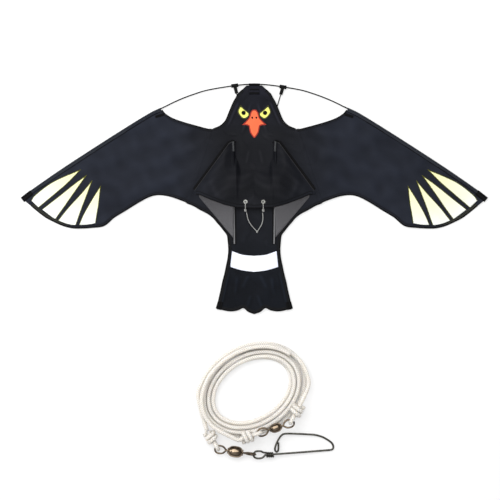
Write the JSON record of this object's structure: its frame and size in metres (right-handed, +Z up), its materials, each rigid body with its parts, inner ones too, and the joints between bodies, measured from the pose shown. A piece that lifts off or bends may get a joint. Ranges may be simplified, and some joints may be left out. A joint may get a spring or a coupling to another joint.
{
  "type": "bird scarer kite",
  "caption": "Hawk-shaped bird scarer kite on a light rod frame with belly panel, bridle, coiled line, barrel swivels and a wire snap.",
  "frame": {"origin": "middle of the kite's outline on the floor, at the height of the lowest rod", "axes": "+X to the viewer's right along the span, +Y to the head, +Z up out of the belly"},
  "size_m": [1.1024, 0.8858, 0.0517],
  "materials": {
    "sail_cloth": "black ripstop weave",
    "binding_cloth": "black binding tape",
    "pale_cloth": "pale appliqué cloth",
    "yellow_cloth": "printed cloth",
    "orange_cloth": "printed cloth",
    "mesh_cloth": "open mesh",
    "dark_rod": "dark fibre rod",
    "grey_rod": "grey fibre rod",
    "vinyl": "black vinyl tube",
    "eyelet_metal": "bright plated",
    "bridle_line": "thin dark cord",
    "braided_line": "translucent hollow braid",
    "bronze_barrel": "dark bronze",
    "dark_wire": "dark spring wire"
  },
  "bodies": {
    "frame": {"body_sail": "sail_cloth", "belly_panel": "sail_cloth", "tail_hem": "binding_cloth", "belly_hem": "binding_cloth", "head_pocket": "binding_cloth", "left_head_hem": "binding_cloth", "left_tail_pocket": "binding_cloth", "right_head_hem": "binding_cloth", "right_tail_pocket": "binding_cloth", "tail_band": "pale_cloth", "left_eye": "yellow_cloth", "right_eye": "yellow_cloth", "beak": "orange_cloth", "left_mesh_vent": "mesh_cloth", "right_mesh_vent": "mesh_cloth", "centre_bow_rod": "dark_rod", "left_brace_rod": "dark_rod", "right_brace_rod": "dark_rod", "left_keel_rod": "grey_rod", "left_keel_cap": "vinyl", "left_bow_connector": "vinyl", "right_keel_rod": "grey_rod", "right_keel_cap": "vinyl", "right_bow_connector": "vinyl", "left_eyelet": "eyelet_metal", "left_bridle_loop": "bridle_line", "right_eyelet": "eyelet_metal", "right_bridle_loop": "bridle_line", "line_coil": "braided_line", "pole_line": "braided_line", "snap_end_knot": "braided_line", "coil_end_knot": "braided_line", "pole_end_knot": "braided_line", "snap_swivel_line_eye": "dark_wire", "snap_swivel_ring_eye": "dark_wire", "pole_swivel_coil_eye": "dark_wire", "pole_swivel_pole_eye": "dark_wire"},
    "left_wing": {"left_wing_sail": "sail_cloth", "left_wing_hem": "binding_cloth", "left_leading_sleeve": "sail_cloth", "left_wing_rod": "dark_rod", "left_tip_pocket": "binding_cloth", "left_first_feather": "pale_cloth", "left_second_feather": "pale_cloth", "left_third_feather": "pale_cloth", "left_fourth_feather": "pale_cloth"},
    "right_wing": {"right_wing_sail": "sail_cloth", "right_wing_hem": "binding_cloth", "right_leading_sleeve": "sail_cloth", "right_wing_rod": "dark_rod", "right_tip_pocket": "binding_cloth", "right_first_feather": "pale_cloth", "right_second_feather": "pale_cloth", "right_third_feather": "pale_cloth", "right_fourth_feather": "pale_cloth"},
    "bridle_v": {"bridle_line": "bridle_line"},
    "snap_barrel": {"snap_swivel_barrel": "bronze_barrel"},
    "pole_barrel": {"pole_swivel_barrel": "bronze_barrel"},
    "snap": {"snap_wire": "dark_wire"},
    "gate": {"snap_gate": "dark_wire"}
  },
  "joints": [
    {"name": "right_wing_flap", "type": "hinge", "parent": "frame", "child": "right_wing", "pos_m": [0.10087, 0.16483, 0.0058], "axis": [0.3103, -0.9506, 0], "range_deg": [-20, 20], "stiffness_Nm_per_rad": 0.6},
    {"name": "left_wing_flap", "type": "hinge", "parent": "frame", "child": "left_wing", "pos_m": [-0.10087, 0.16483, 0.0058], "axis": [0.3103, 0.9506, 0], "range_deg": [-20, 20], "stiffness_Nm_per_rad": 0.6},
    {"name": "bridle_swing", "type": "hinge", "parent": "frame", "child": "bridle_v", "pos_m": [0, -0.02802, 0.02263], "axis": [-1, 0, 0], "range_deg": [0, 110]},
    {"name": "snap_swivel_spin", "type": "hinge", "parent": "frame", "child": "snap_barrel", "pos_m": [-0.0448, -0.5959, 0.014], "axis": [0.9903, -0.1392, 0], "continuous": true},
    {"name": "pole_swivel_spin", "type": "hinge", "parent": "frame", "child": "pole_barrel", "pos_m": [0.0503, -0.5378, 0.03635], "axis": [0.9542, 0.299, 0], "continuous": true},
    {"name": "snap_swing", "type": "hinge", "parent": "frame", "child": "snap", "pos_m": [0.00298, -0.60262, 0.014], "axis": [0, 0, -1], "range_deg": [0, 12]},
    {"name": "snap_gate_spring", "type": "hinge", "parent": "snap", "child": "gate", "pos_m": [0.18105, -0.59261, 0.00264], "axis": [0, 1, 0], "range_deg": [0, 22], "stiffness_Nm_per_rad": 0.05}
  ]
}
